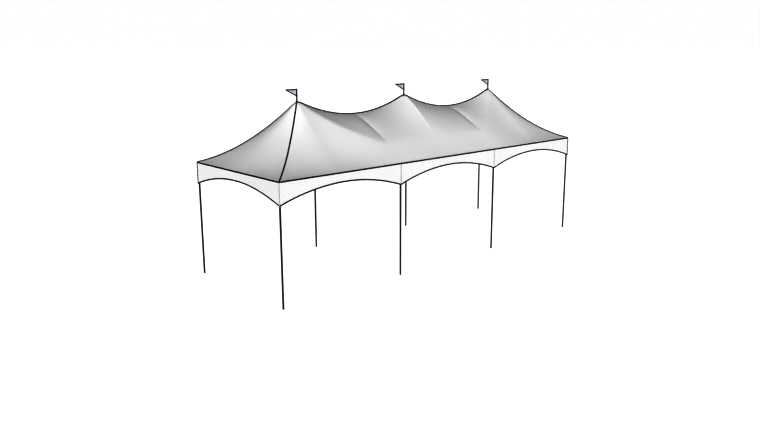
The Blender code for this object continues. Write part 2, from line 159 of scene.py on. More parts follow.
# Bolts: how far from a fitting's middle they stand, their parts' lengths, and those parts' radii as shares
# of the bolt's own
BOLT_REACH = 0.115
WASHER_THICKNESS = 0.0014
HEAD_THICKNESS = 0.0052
NUT_THICKNESS = 0.0060
THREAD_LENGTH = 0.0036
WASHER_SHARE = 1.9
HEXAGON_SHARE = 1.55
THREAD_SHARE = 0.92

# Mast rings, wire rope, and the forks that pin it to the lugs
BORE_EASE = 0.0015
RIM_EASE = 0.002
ROPE_RADIUS = 0.0031
ROPE_STRANDS = 6
ROPE_GROOVE = 0.80
ROPE_LAY = 0.036
ROPE_STEP = 0.009
ROPE_FROM_LUG = 0.100
ROPE_FROM_RING = 0.060
RING_HOLD = 0.80
SWAGE_IN_RING = 0.012
FORK_OFFSET = 0.0059
FORK_BACK = 0.011
FORK_FRONT = 0.038
FORK_HALF_WIDTH = 0.0025
FORK_HALF_HEIGHT = 0.0085
FORK_PIN_REACH = 0.0084

# Turned profiles, (radius, height) from top to bottom. The collar's heights are from the pennant's stop,
# and the cap's from the skin's tip
COLLAR_PROFILE = ((0.0150, 0.0), (0.0155, -0.0006), (0.0155, -0.0044), (0.0150, -0.0050), (0.0125, -0.0050))
CAP_PROFILE = (
    (0.0125, 0.034), (0.0132, 0.026), (0.0160, 0.020), (0.0215, 0.013), (0.0262, 0.008), (0.0286, 0.004),
    (0.0290, 0.001), (0.0285, 0.0), (0.0080, 0.0), (0.0080, -0.075), (0.0, -0.075),
)
PIN_PROFILE = ((0.0, 0.011), (PIN_RADIUS, 0.011), (PIN_RADIUS, -0.011), (0.0, -0.011))
SOCKET_PROFILE = (
    (0.0, 0.110), (0.0042, 0.110), (0.0052, 0.100), (0.0052, 0.066), (0.0088, 0.058), (0.0090, 0.034),
    (0.0075, 0.028), (0.0, 0.028),
)
SWAGE_PROFILE = ((0.0, 0.060), (0.0040, 0.060), (0.0054, 0.054), (0.0056, 0.012), (0.0048, 0.0), (0.0, 0.0))

# Edges sharper than these angles, in degrees, keep a crease
CREASE = 30
ROUND_CREASE = 50
ROPE_CREASE = 60
RIM_CREASE = 60

# Colours
ROOF_WHITE = (0.52, 0.52, 0.52)
ROOF_SOILED = (0.506, 0.506, 0.506)
# The valances' white is the roof's white vinyl set a shade darker: painted shade on their upright faces,
# which the key light strikes more squarely. The second valance white adds faint random clouding to that
# darker white
WHITE = (0.496, 0.496, 0.496)
SHADED_SOILED_WHITE = (0.484, 0.484, 0.484)
BLACK = (0.010, 0.010, 0.011)
BLACK_THREAD = (0.030, 0.030, 0.032)
GREY = (0.28, 0.28, 0.285)
GREY_THREAD = (0.34, 0.34, 0.34)
PENNANT_GREY = (0.42, 0.42, 0.44)
PENNANT_SOILED = (0.39, 0.39, 0.41)
TUBE_BLACK = (0.014, 0.014, 0.016)
TUBE_DUST = (0.16, 0.15, 0.13)
CAST_BLACK = (0.020, 0.020, 0.022)
CAST_DUST = (0.10, 0.095, 0.085)
ZINC = (0.62, 0.63, 0.65)
DULL_ZINC = (0.42, 0.43, 0.45)
FLOOR_GREY = (0.10, 0.10, 0.10)

# Periods of the weaves. A wave texture of WAVE_SCALE repeats once a metre
WAVE_SCALE = 0.314
FABRIC_WEAVE = 0.0016
PENNANT_WEAVE = 0.0012
WEBBING_WEAVE = 0.0022

# A colour mix node's sockets, by number because its other types' sockets have the same names
MIX_SHARE = 0
MIX_FIRST = 6
MIX_SECOND = 7
MIX_RESULT = 2

# Lights: name, direction towards it, width in degrees and strength
SUNS = (
    ("key", (-0.640, -0.680, 0.360), 12, 5.95),
    ("back", (0.66, 0.74, 0.14), 20, 5.0),
)

# The backdrop is white up to the first height over the horizon, and as dim as the sky from the second on
WHITE_BAND_TOP = 0.11
SKY_START = 0.20
SKY_LIGHT = 0.13
FLOOR_HALF = 3000

# Camera and view, its angles in degrees
CAMERA_PLACE = (-11.7338, -12.2882, 4.8970)
CAMERA_TILT = 77.8911
CAMERA_TURN = -42.9484
SENSOR_WIDTH = 36.0
FOCAL_LENGTH = 34.058
SHIFT_X = -0.01916
SHIFT_Y = -0.02193
VIEW_GAMMA = 0.33

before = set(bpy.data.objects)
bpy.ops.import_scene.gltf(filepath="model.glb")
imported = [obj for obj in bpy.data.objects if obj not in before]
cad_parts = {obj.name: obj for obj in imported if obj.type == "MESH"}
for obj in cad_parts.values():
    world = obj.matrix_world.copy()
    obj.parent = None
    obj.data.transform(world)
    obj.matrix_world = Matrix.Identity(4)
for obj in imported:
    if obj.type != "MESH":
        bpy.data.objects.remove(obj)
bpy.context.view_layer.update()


# Materials


class Finish:
    """A material while it is made: nodes are added, joined up and fed to its shader."""

    def __init__(self, name):
        self.material = bpy.data.materials.new(name)
        self.material.use_nodes = True
        self.tree = self.material.node_tree
        self.shader = self.tree.nodes["Principled BSDF"]

    def add(self, kind, **settings):
        """A node with its inputs, or else its properties, set by name."""
        node = self.tree.nodes.new(kind)
        for key, value in settings.items():
            if key in node.inputs:
                node.inputs[key].default_value = value
            else:
                setattr(node, key, value)
        return node

    def link(self, output, target):
        """Links an output to any node's input."""
        self.tree.links.new(output, target)

    def feed(self, name, output):
        """Links an output to one of the shader's inputs."""
        self.link(output, self.shader.inputs[name])

    def fix(self, name, value):
        """Gives one of the shader's inputs a fixed value."""
        self.shader.inputs[name].default_value = value

    def coords(self, kind="Object"):
        """Places on the piece, in its own frame or as UVs."""
        return self.add("ShaderNodeTexCoord").outputs[kind]

    def noise(self, coords, scale, detail=4.0, roughness=0.55):
        """Soft noise, for the most part between 0.3 and 0.7."""
        node = self.add("ShaderNodeTexNoise", Scale=scale, Detail=detail, Roughness=roughness)
        self.link(coords, node.inputs["Vector"])
        return node.outputs["Fac"]

    def ranged(self, value, low, high, from_low=0.3, from_high=0.7):
        """A value stretched from one range to another."""
        node = self.add("ShaderNodeMapRange")
        ends = {"From Min": from_low, "From Max": from_high, "To Min": low, "To Max": high}
        for key, end in ends.items():
            node.inputs[key].default_value = end
        self.link(value, node.inputs["Value"])
        return node.outputs["Result"]

    def mixed(self, share, first, second):
        """A colour between two others."""
        node = self.add("ShaderNodeMix", data_type="RGBA")
        node.inputs[MIX_FIRST].default_value = (*first, 1)
        node.inputs[MIX_SECOND].default_value = (*second, 1)
        self.link(share, node.inputs[MIX_SHARE])
        return node.outputs[MIX_RESULT]

    def bump(self, height, strength, distance, below=None):
        """Bump from a height, on top of another bump if one is given."""
        node = self.add("ShaderNodeBump", Strength=strength, Distance=distance)
        self.link(height, node.inputs["Height"])
        if below:
            self.link(below, node.inputs["Normal"])
        self.feed("Normal", node.outputs["Normal"])
        return node.outputs["Normal"]

    def weave(self, coords, axes, period):
        """Height of a plain weave whose threads run along two axes."""
        total = self.add("ShaderNodeMath", operation="ADD")
        for number, axis in enumerate(axes):
            scale = WAVE_SCALE / period
            wave = self.add("ShaderNodeTexWave", wave_type="BANDS", bands_direction=axis, Scale=scale)
            self.link(coords, wave.inputs["Vector"])
            self.link(wave.outputs["Fac"], total.inputs[number])
        return total.outputs[0]


def coated_fabric(name, colour, soiled, axes, period=FABRIC_WEAVE):
    """Coated fabric: fine weave under a soft coating, faint clouding, and long soft creases."""
    finish = Finish(name)
    coords = finish.coords()
    clouds = finish.noise(coords, scale=0.9, detail=6.0, roughness=0.6)
    soiling = finish.ranged(clouds, 0.0, 1.0, from_low=0.35, from_high=0.75)
    finish.feed("Base Color", finish.mixed(soiling, colour, soiled))
    finish.feed("Roughness", finish.ranged(finish.noise(coords, scale=7.0), 0.40, 0.54))
    finish.fix("Sheen Weight", 0.04)
    finish.fix("Specular IOR Level", 0.0)
    folds = finish.noise(coords, scale=2.2, detail=2.0, roughness=0.4)
    creases = finish.bump(folds, strength=0.25, distance=0.006)
    finish.bump(finish.weave(coords, axes, period), strength=0.25, distance=0.0002, below=creases)
    return finish.material


def webbing(name, colour, thread):
    """Woven strap, worn lighter in places, with its weave along UVs in metres."""
    finish = Finish(name)
    worn = finish.noise(finish.coords(), scale=6.0, detail=5.0)
    wear = finish.ranged(worn, 0.0, 1.0, from_low=0.4, from_high=0.8)
    finish.feed("Base Color", finish.mixed(wear, colour, thread))
    finish.feed("Roughness", finish.ranged(worn, 0.62, 0.85))
    ribs = finish.weave(finish.coords("UV"), ("X", "Y"), WEBBING_WEAVE)
    finish.bump(ribs, strength=0.5, distance=0.0006)
    return finish.material


def powder_coat(name, colour, dust, rough=0.38):
    """Satin powder coat on metal: fine orange peel, handling marks and a little ground dust low down."""
    finish = Finish(name)
    coords = finish.coords()
    split = finish.add("ShaderNodeSeparateXYZ")
    finish.link(coords, split.inputs[0])
    low_down = finish.ranged(split.outputs["Z"], 0.55, 0.0, from_low=0.0, from_high=0.35)
    patchy = finish.noise(coords, scale=9.0, detail=6.0, roughness=0.7)
    patches = finish.ranged(patchy, 0.0, 0.5, from_low=0.35, from_high=0.75)
    marks = finish.ranged(patches, 0.0, 0.12, from_low=0.0, from_high=0.5)
    dusty = finish.add("ShaderNodeMath", operation="MULTIPLY_ADD")
    for number, value in enumerate((low_down, patches, marks)):
        finish.link(value, dusty.inputs[number])
    finish.feed("Base Color", finish.mixed(dusty.outputs[0], colour, dust))
    finish.feed("Roughness", finish.ranged(finish.noise(coords, scale=24.0), rough - 0.07, rough + 0.10))
    finish.fix("Metallic", 0.0)
    finish.fix("Coat Weight", 0.15)
    finish.fix("Coat Roughness", 0.30)
    finish.bump(finish.noise(coords, scale=420.0, detail=2.0), strength=0.20, distance=0.0004)
    return finish.material


def galvanised(name, colour, dull):
    """Zinc on steel: spangled colour, rougher where it has dulled."""
    finish = Finish(name)
    coords = finish.coords()
    spangle = finish.add("ShaderNodeTexVoronoi", Scale=160.0)
    finish.link(coords, spangle.inputs["Vector"])
    finish.feed("Base Color", finish.mixed(spangle.outputs["Distance"], colour, dull))
    finish.feed("Roughness", finish.ranged(finish.noise(coords, scale=60.0), 0.28, 0.50))
    finish.fix("Metallic", 1.0)
    finish.bump(finish.noise(coords, scale=300.0), strength=0.15, distance=0.0003)
    return finish.material


skin_cloth = coated_fabric("coated_skin", ROOF_WHITE, ROOF_SOILED, ("X", "Y"))
# The valance cloths use the roof's vinyl in a darker white: painted shade
side_cloth = coated_fabric("coated_valance", WHITE, SHADED_SOILED_WHITE, ("X", "Z"))
end_cloth = coated_fabric("coated_end_valance", WHITE, SHADED_SOILED_WHITE, ("Y", "Z"))
black_webbing = webbing("black_webbing", BLACK, BLACK_THREAD)
grey_webbing = webbing("grey_seam_tape", GREY, GREY_THREAD)
tube_coat = powder_coat("tube_coat", TUBE_BLACK, TUBE_DUST)
cast_coat = powder_coat("cast_coat", CAST_BLACK, CAST_DUST, rough=0.50)
zinc = galvanised("zinc", ZINC, DULL_ZINC)
pennant_cloth = coated_fabric("pennant_cloth", PENNANT_GREY, PENNANT_SOILED, ("X", "Z"), PENNANT_WEAVE)


# Mesh helpers


def piece(name, mesh, finish, body="tent"):
    """A visible piece that rides on a body."""
    made = bpy.data.objects.new(name, mesh)
    bpy.context.scene.collection.objects.link(made)
    mesh.materials.append(finish)
    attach(made, body)
    return made


def finished_mesh(name, bm, crease=None):
    """A mesh of smooth faces from a bmesh, with a crease on edges sharper than an angle in degrees."""
    for face in bm.faces:
        face.smooth = True
    mesh = bpy.data.meshes.new(name)
    bm.to_mesh(mesh)
    bm.free()
    if crease:
        mesh.set_sharp_from_angle(angle=math.radians(crease))
    return mesh


def sharpen_rims(mesh):
    """Steep edges keep their own shading on each side, so a sheet stays flat up to its rim."""
    bm = bmesh.new()
    bm.from_mesh(mesh)
    for edge in bm.edges:
        if edge.is_manifold and edge.calc_face_angle(0.0) > math.radians(RIM_CREASE):
            edge.smooth = False
    bm.to_mesh(mesh)
    bm.free()


def thickened(name, surface, thickness, offset=-1.0):
    """A solid sheet from an open surface, which is its outer face, or its middle where offset is 0."""
    holder = bpy.data.objects.new(name, surface)
    bpy.context.scene.collection.objects.link(holder)
    solidify = holder.modifiers.new("thickness", "SOLIDIFY")
    solidify.thickness = thickness
    solidify.offset = offset
    bpy.context.view_layer.update()
    graph = bpy.context.evaluated_depsgraph_get()
    mesh = bpy.data.meshes.new_from_object(holder.evaluated_get(graph))
    bpy.data.objects.remove(holder)
    mesh.name = name
    sharpen_rims(mesh)
    return mesh


def facing_up(surface):
    """Turns an open surface's faces up, so that its thickness goes below it."""
    if surface.polygons[0].normal.z < 0:
        surface.flip_normals()
    return surface


def sheet_mesh(name, rows, cut_from=None):
    """An open sheet through rows of points, with UVs in metres.

    cut_from(i, j) gives the corner, counted from 1, from which a sharp fold cuts a quad in two, or 0.
    """
    bm = bmesh.new()
    layer = bm.loops.layers.uv.new("metres")
    grid = [[bm.verts.new(point) for point in row] for row in rows]
    place = {}
    length = 0.0
    for i, row in enumerate(grid):
        if i:
            length += (row[0].co - grid[i - 1][0].co).length
        width = 0.0
        for j, vertex in enumerate(row):
            if j:
                width += (vertex.co - row[j - 1].co).length
            place[vertex] = (length, width)
    for i in range(len(grid) - 1):
        for j in range(len(grid[0]) - 1):
            corners = [grid[i][j], grid[i + 1][j], grid[i + 1][j + 1], grid[i][j + 1]]
            corner = cut_from(i, j) if cut_from else 0
            if corner:
                a, b, c, d = corners[corner - 1 :] + corners[: corner - 1]
                bm.faces.new((a, b, c))
                bm.faces.new((a, c, d))
                bm.edges.get((a, c)).smooth = False
            else:
                bm.faces.new(corners)
    for face in bm.faces:
        for loop in face.loops:
            loop[layer].uv = place[loop.vert]
    bm.normal_update()
    return finished_mesh(name, bm)


def swept(name, sections, closed_path=False, crease=CREASE):
    """A closed solid through cross-sections that each list the same number of points."""
    bm = bmesh.new()
    layer = bm.loops.layers.uv.new("metres")
    rings = [[bm.verts.new(point) for point in section] for section in sections]
    count = len(rings[0])
    along = [0.0]
    for first, second in zip(rings, rings[1:]):
        along.append(along[-1] + (second[0].co - first[0].co).length)
    steps = len(rings) if closed_path else len(rings) - 1
    for i in range(steps):
        first, second = rings[i], rings[(i + 1) % len(rings)]
        end = along[i + 1] if i + 1 < len(along) else along[i] + (second[0].co - first[0].co).length
        around = 0.0
        for j in range(count):
            k = (j + 1) % count
            reach = (first[k].co - first[j].co).length
            face = bm.faces.new((first[j], second[j], second[k], first[k]))
            uvs = ((along[i], around), (end, around), (end, around + reach), (along[i], around + reach))
            for loop, uv in zip(face.loops, uvs):
                loop[layer].uv = uv
            around += reach
    if not closed_path:
        bm.faces.new(rings[0])
        bm.faces.new(reversed(rings[-1]))
    bmesh.ops.recalc_face_normals(bm, faces=bm.faces)
    return finished_mesh(name, bm, crease)


def circle(radius, sides):
    """Points (u, v) round a circle."""
    turns = [math.tau * i / sides for i in range(sides)]
    return [(radius * math.cos(turn), radius * math.sin(turn)) for turn in turns]


def turned_mesh(name, profile, sides=40, centre=(0, 0, 0)):
    """A turned solid from (radius, height) points that end on the axis or come back to their start."""
    bm = bmesh.new()
    rings = []
    for radius, height in profile:
        spots = circle(radius, sides) if radius else [(0, 0)]
        rings.append([bm.verts.new((u, v, height)) for u, v in spots])
    for upper, lower in zip(rings, rings[1:]):
        for i in range(sides):
            k = (i + 1) % sides
            if len(upper) == 1:
                bm.faces.new((upper[0], lower[i], lower[k]))
            elif len(lower) == 1:
                bm.faces.new((upper[i], lower[0], upper[k]))
            else:
                bm.faces.new((upper[i], lower[i], lower[k], upper[k]))
    bmesh.ops.recalc_face_normals(bm, faces=bm.faces)
    bm.transform(Matrix.Translation(centre))
    return finished_mesh(name, bm, CREASE)


def placed(mesh, matrix):
    """A copy of a mesh, moved and turned."""
    copy = mesh.copy()
    copy.transform(matrix)
    return copy


def joined(name, meshes):
    """One mesh from several, which are used up."""
    bm = bmesh.new()
    for mesh in meshes:
        bm.from_mesh(mesh)
        bpy.data.meshes.remove(mesh)
    return finished_mesh(name, bm, CREASE)


def facing(position, direction):
    """A matrix that stands a Z-up mesh at a position along a direction."""
    return Matrix.Translation(position) @ Vector(direction).to_track_quat("Z", "Y").to_matrix().to_4x4()


# The roof's form, by the same rule as in the CAD


def smooth_step(low, high, value):
    """0 up to low, 1 from high on, and a smooth climb between them."""
    share = min(max((value - low) / (high - low), 0.0), 1.0)
    return share * share * (3 - 2 * share)


def eased(distance, reach, radius):
    """A distance from 0 to reach whose start is rounded off by a radius."""
    flat = math.hypot(distance, radius) - radius
    return reach * flat / (math.hypot(reach, radius) - radius)


def slope_share(share, sag):
    """Share of the rise reached at a share of the run up a slope."""
    return share - share * (1 - share) * (4 * sag + SLOPE_EASE * (1 - 2 * share))


def soft_ramp(value, radius):
    """Zero below zero and the value above it, with the corner rounded off."""
    return (value + math.hypot(value, radius)) / 2


def valley_dip(run, share, outer_bay):
    """How far the valley pulls the skin down, run being 0 over a mast and 1 in the valley.

    The valley comes down from the saddle and ends part way down the slope. In an outer bay the skin
    folds down from a straight line between its peak and that end.
    """
    reach = soft_ramp((share - VALLEY_END) / (1 - VALLEY_END), VALLEY_ROUNDING)
    groove = 4 * GROOVE_DEPTH * reach * (1 - reach) * math.exp((run - 1) * HALF / GROOVE_WIDTH)
    if outer_bay:
        width = min(max(reach, FOLD_LEAST), 1.0) ** FOLD_SPREAD
        rounding = VALLEY_EDGE_LEAST + VALLEY_EDGE * (1 - width)
        edge = soft_ramp(-(1 - width) / width, rounding)
        run = (soft_ramp((run - 1 + width) / width, rounding) - edge) / (soft_ramp(1.0, rounding) - edge)
    run = min(run, 1.0)
    hung = RIDGE_SAG * reach**VALLEY_DROP * (1 - (1 - run) ** 2)
    return hung + max(groove, 0.0)


def roof_height(dx, dy, hipped, outer_bay):
    """Height of the skin over a point dx along and dy across from a peak, on a hipped end or not."""
    along, across = abs(dx), abs(dy)
    outward = max(along, across) if hipped else across
    if outward > INNER:
        return BEAM_LINE_HEIGHT - EDGE_DROP * (outward - INNER) / INSET
    share = 1 - outward / INNER
    sag, dip = END_SAG, 0.0
    if hipped:
        rounding = PEAK_FOLD + HIP_FOLD * smooth_step(0, HIP_FOLD_REACH, 1 - share)
        sideways = eased(min(along, across), outward, rounding) if outward > 0 else 0.0
        top = 1 - sideways / INNER
        run = (INNER - outward) / (INNER - sideways) if sideways < INNER else 0.0
        rise = RISE * top - 4 * HIP_SAG * top * (1 - top)
    else:
        toward_valley = along / HALF
        if outer_bay:
            sag -= (END_SAG + VALLEY_BULGE) * smooth_step(0, 1, toward_valley)
        else:
            sag = -VALLEY_BULGE
        rise, run = RISE, share
        dip = valley_dip(toward_valley, share, outer_bay)
    tip = TIP_ROUNDING * math.exp(-((along**2 + across**2) / TIP_REACH**2))
    return BEAM_LINE_HEIGHT + rise * slope_share(run, sag) - dip - tip


def skin_height(x, y):
    """Height of the skin's outer face over any point of the plan."""
    peak = min(PEAK_XS.values(), key=lambda centre: abs(x - centre))
    return roof_height(x - peak, y, abs(x) > BAY, peak != 0)


def on_skin(x, y, lift):
    """A point a given height over the skin."""
    return Vector((x, y, skin_height(x, y) + lift))


# The roof


def grid_lines():
    """Distances from the peak of the skin's grid lines: crowded at the peak, one on each beam's line."""
    inner = [INNER * (i / (SKIN_LINES - 1)) ** SKIN_CROWDING for i in range(SKIN_LINES)]
    outward = [*inner, HALF - INSET / 2, HALF]
    return [-line for line in reversed(outward[1:])] + outward


def hip_cut(i, j, middle, hipped_side):
    """The corner from which a quad on a hip is cut, counted from 1, and 0 for any other quad."""
    column, row = i - middle + 0.5, j - middle + 0.5
    if column * hipped_side <= 0 or abs(column) != abs(row):
        return 0
    return 1 if column * row > 0 else 2


def skin_surface(bay, hipped_side):
    """The open skin over one bay. hipped_side is -1, 0 or 1: the end whose slope is hipped."""
    lines = grid_lines()
    middle = len(lines) // 2
    outer_bay = hipped_side != 0
    rows = []
    for dx in lines:
        x = PEAK_XS[bay] + dx
        hipped = dx * hipped_side > 0
        rows.append([(x, dy, roof_height(dx, dy, hipped, outer_bay)) for dy in lines])
    return sheet_mesh(f"skin_{bay}", rows, cut_from=lambda i, j: hip_cut(i, j, middle, hipped_side))


def make_skins():
    """The membrane over each bay, as fine as its folds need, with a sharp fold along each hip."""
    made = []
    for bay, hipped_side in (("left", -1), ("middle", 0), ("right", 1)):
        mesh = thickened(f"skin_{bay}", facing_up(skin_surface(bay, hipped_side)), SKIN_THICKNESS)
        skin = piece(f"skin_{bay}", mesh, skin_cloth)
        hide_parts(f"roof_{bay}")
        made.append(skin)
    return made


def strip_mesh(name, start, end, width, steps, lift, thickness):
    """A strap along a straight line in plan, its outer face a given height over the skin's."""
    start, end = Vector(start), Vector(end)
    side = Vector((start.y - end.y, end.x - start.x)).normalized()
    rows = []
    for i in range(steps + 1):
        middle = start.lerp(end, i / steps)
        spots = [middle + side * (width * share) for share in (-0.5, -0.25, 0.0, 0.25, 0.5)]
        rows.append([on_skin(spot.x, spot.y, lift) for spot in spots])
    return thickened(name, facing_up(sheet_mesh(name, rows)), thickness)


def tape_on_skin(name, start, end, width, steps):
    """Black webbing laid on the skin along a straight line in plan."""
    mesh = strip_mesh(name, start, end, width, steps, TRIM_THICKNESS, TRIM_THICKNESS)
    return piece(name, mesh, black_webbing)


def bead_on_skin(name, start, end):
    """A round bead sewn into the webbing, laid along a straight line in plan."""
    start, end = Vector(start), Vector(end)
    level = (end - start).normalized()
    side = Vector((level.y, -level.x, 0))
    spots = [start.lerp(end, i / BEAD_STEPS) for i in range(BEAD_STEPS + 1)]
    path = [on_skin(spot.x, spot.y, BEAD_LIFT) for spot in spots]
    sections = []
    for i, point in enumerate(path):
        along = (path[min(i + 1, BEAD_STEPS)] - path[max(i - 1, 0)]).normalized()
        up = side.cross(along)
        if up.z < 0:
            up = -up
        sections.append([point + side * u + up * v for u, v in circle(BEAD_RADIUS, BEAD_SIDES)])
    return piece(name, swept(name, sections, crease=ROUND_CREASE), black_webbing)


def make_ridge_trim():
    """Black webbing along the ridge, with a bead from peak to peak."""
    start, end = RIDGE_BEAD_START, BAY - RIDGE_BEAD_START
    return [
        tape_on_skin("ridge_tape", (-BAY, 0), (BAY, 0), RIDGE_TAPE_WIDTH, RIDGE_STEPS),
        bead_on_skin("ridge_bead_left", (-end, 0), (-start, 0)),
        bead_on_skin("ridge_bead_right", (start, 0), (end, 0)),
    ]


def make_hip_trim():
    """Black webbing and a bead down each hip, from beside the rod's cap to the corner."""
    trim = []
    for side_x, end in ((-1, "left"), (1, "right")):
        for side_y, row in ((-1, "front"), (1, "back")):
            start = (side_x * (BAY + HIP_START), side_y * HIP_START)
            corner = (side_x * (HALF_LENGTH - HIP_STOP), side_y * (HALF - HIP_STOP))
            trim.append(tape_on_skin(f"hip_tape_{row}_{end}", start, corner, HIP_TAPE_WIDTH, HIP_STEPS))
            trim.append(bead_on_skin(f"hip_bead_{row}_{end}", start, corner))
    return trim


def make_valley_welds():
    """Strips welded under the skin on both sides of each valley joint."""
    strips = []
    for side_x, end in ((-1, "left"), (1, "right")):
        for beside, direction in (("outer", 1), ("inner", -1)):
            name = f"valley_weld_{beside}_{end}"
            x = side_x * (HALF + direction * WELD_OFFSET)
            front, back = (x, -INNER), (x, INNER)
            mesh = strip_mesh(name, front, back, WELD_WIDTH, WELD_STEPS, -SKIN_THICKNESS, WELD_THICKNESS)
            strips.append(piece(name, mesh, skin_cloth))
    return strips


def make_peak_patches():
    """A round reinforcing patch welded on the skin at each peak."""
    made = []
    for bay, peak_x in PEAK_XS.items():
        rows = []
        for ring in range(PATCH_RINGS + 1):
            spots = circle(PATCH_BORE + PATCH_REACH * ring / PATCH_RINGS, PATCH_SIDES)
            rows.append([on_skin(peak_x + u, v, PATCH_LIFT) for u, v in (*spots, spots[0])])
        mesh = thickened("patch", facing_up(sheet_mesh("patch", rows)), WELD_THICKNESS)
        made.append(piece(f"peak_patch_{bay}", mesh, skin_cloth))
    return made


def make_eave_band():
    """Black webbing folded over the eave all the way round."""
    inner, outer = SEAT, 2 * SEAT + TRIM_THICKNESS
    low = EAVE_HEIGHT - EAVE_BAND_DROP
    inside_top = EAVE_HEIGHT + EAVE_BAND_LIFT
    outside_top = EAVE_HEIGHT + TRIM_THICKNESS
    climb = EAVE_BAND_REACH * EDGE_DROP / INSET
    profile = [
        (outer, low),
        (outer, outside_top),
        (-EAVE_BAND_REACH, outside_top + climb),
        (-EAVE_BAND_REACH, inside_top + climb),
        (inner, inside_top),
        (inner, low),
    ]
    sections = []
    for side_x, side_y in ((-1, -1), (1, -1), (1, 1), (-1, 1)):
        sections.append([(side_x * (HALF_LENGTH + out), side_y * (HALF + out), z) for out, z in profile])
    return piece("eave_band", swept("eave_band", sections, closed_path=True), black_webbing)


# Valances


def arch_height(share):
    """Height of a valance's lower edge at a share of a bay."""
    return VALANCE_AT_MIDDLE - ARCH_RISE * (2 * share - 1) ** 2


def arch_slope(share):
    """How steeply that edge climbs there."""
    return -4 * ARCH_RISE * (2 * share - 1) / BAY


def ripple(share, hang):
    """How far a valance stands off its plane: nothing at the legs and along its upper edge."""
    return RIPPLE * math.sin(RIPPLES_IN_BAY * math.tau * share) * hang


def along_bays(bays, half_length):
    """Places along a valance: for each bay a list of (x, share of the bay)."""
    shares = [step / ARCH_STEPS for step in range(ARCH_STEPS + 1)]
    for bay in range(bays):
        start = BAY * bay - bays * HALF
        yield [(min(max(start + BAY * share, -half_length), half_length), share) for share in shares]


def hung_mesh(name, bays, half_length):
    """An upright cloth along X on y = 0, rippled a little between the legs."""
    hangs = [k / CLOTH_ROWS for k in range(CLOTH_ROWS + 1)]
    rows = []
    for number, bay in enumerate(along_bays(bays, half_length)):
        for x, share in bay[1 if number else 0 :]:
            low = arch_height(share)
            rows.append([(x, ripple(share, 1 - up), low + (CLOTH_TOP - low) * up) for up in hangs])
    return thickened(name, sheet_mesh(name, rows), SKIN_THICKNESS, offset=0.0)


def arch_band_mesh(name, bays, half_length):
    """Webbing folded over the lower edge of a valance, a solid on each arch."""
    arches = []
    for bay in along_bays(bays, half_length):
        sections = []
        for x, share in bay:
            edge = arch_height(share)
            low = edge - ARCH_BAND_WRAP
            high = edge + ARCH_BAND_WIDTH * math.hypot(1, arch_slope(share))
            near = ripple(share, 1) - ARCH_BAND_HALF_DEPTH
            far = ripple(share, 1) + ARCH_BAND_HALF_DEPTH
            sections.append([(x, near, low), (x, far, low), (x, far, high), (x, near, high)])
        arches.append(swept(name, sections))
    return joined(name, arches)


def make_valances():
    """Valances and their black lower bands, hung where the CAD has them."""
    long_wall = (
        hung_mesh("valance_long", 3, HALF_LENGTH - 2 * SEAT),
        arch_band_mesh("band_long", 3, HALF_LENGTH),
        side_cloth,
    )
    end_wall = (
        hung_mesh("valance_short", 1, HALF - CAD_THICKNESS),
        arch_band_mesh("band_short", 1, HALF),
        end_cloth,
    )
    middle_x = HALF_LENGTH - CAD_THICKNESS / 2
    middle_y = HALF - CAD_THICKNESS / 2
    quarter = Matrix.Rotation(math.pi / 2, 4, "Z")
    walls = {
        "front": (long_wall, Matrix.Translation((0, -middle_y, 0))),
        "back": (long_wall, Matrix.Translation((0, middle_y, 0))),
        "left": (end_wall, Matrix.Translation((-middle_x, 0, 0)) @ quarter),
        "right": (end_wall, Matrix.Translation((middle_x, 0, 0)) @ quarter),
    }
    made = {}
    for wall, ((cloth, band, finish), place) in walls.items():
        hung = piece(f"hung_valance_{wall}", placed(cloth, place), finish)
        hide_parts(f"valance_{wall}")
        trim = piece(f"arch_band_{wall}", placed(band, place), black_webbing)
        made[wall] = (hung, trim)
    return made


def upright_bar(x, y, section, low, high):
    """An upright solid of one cross-section at a point of the plan."""
    sections = [[(x + u, y + v, z) for u, v in section] for z in (low, high)]
    return swept("upright", sections, crease=ROUND_CREASE)


def make_seam_tapes():
    """Flat grey tape over the seams between the bays, and cord down the corners of the valances.

    The cord is thin and grey on two opposite corners, and thick and black on the other two.
    """
    u, v = SEAM_TAPE_HALF_WIDTH, SEAM_TAPE_HALF_DEPTH
    flat = [(-u, -v), (u, -v), (u, v), (-u, v)]
    tape_low = VALANCE_AT_LEG + ARCH_BAND_WIDTH
    tape_high = EAVE_HEIGHT - EAVE_BAND_DROP
    thin = circle(THIN_CORD_RADIUS, sides=10)
    thick = circle(THICK_CORD_RADIUS, sides=14)
    grey, black = [], []
    for side_y in (-1, 1):
        for x in (-HALF, HALF):
            grey.append(upright_bar(x, side_y * HALF, flat, tape_low, tape_high))
        for side_x in (-1, 1):
            x, y = side_x * HALF_LENGTH, side_y * HALF
            if side_x == side_y:
                grey.append(upright_bar(x, y, thin, VALANCE_AT_LEG, EAVE_HEIGHT))
            else:
                black.append(upright_bar(x, y, thick, VALANCE_AT_LEG, EAVE_HEIGHT))
    return [
        piece("seam_tapes", joined("seam_tapes", grey), grey_webbing),
        piece("corner_cords", joined("corner_cords", black), black_webbing),
    ]


# Pennants and finials


def flag_point(peak_x, u, v):
    """A point of a pennant, u from the rod to the fly and v from the lower to the upper edge."""
    sway = FLAG_SWAY * math.sin(SWAY_ALONG * u + SWAY_UP * v) * smooth_step(0.0, FLAG_FREE, u)
    low = PENNANT_TOP - PENNANT_HEIGHT + FLAG_MARGIN
    rise = FLAG_CUT * u
    height = low + (PENNANT_HEIGHT - 2 * FLAG_MARGIN) * (rise + (1 - rise) * v)
    return Vector((peak_x - FLAG_FROM_ROD - (PENNANT_LENGTH - FLAG_FROM_ROD) * u, sway, height))


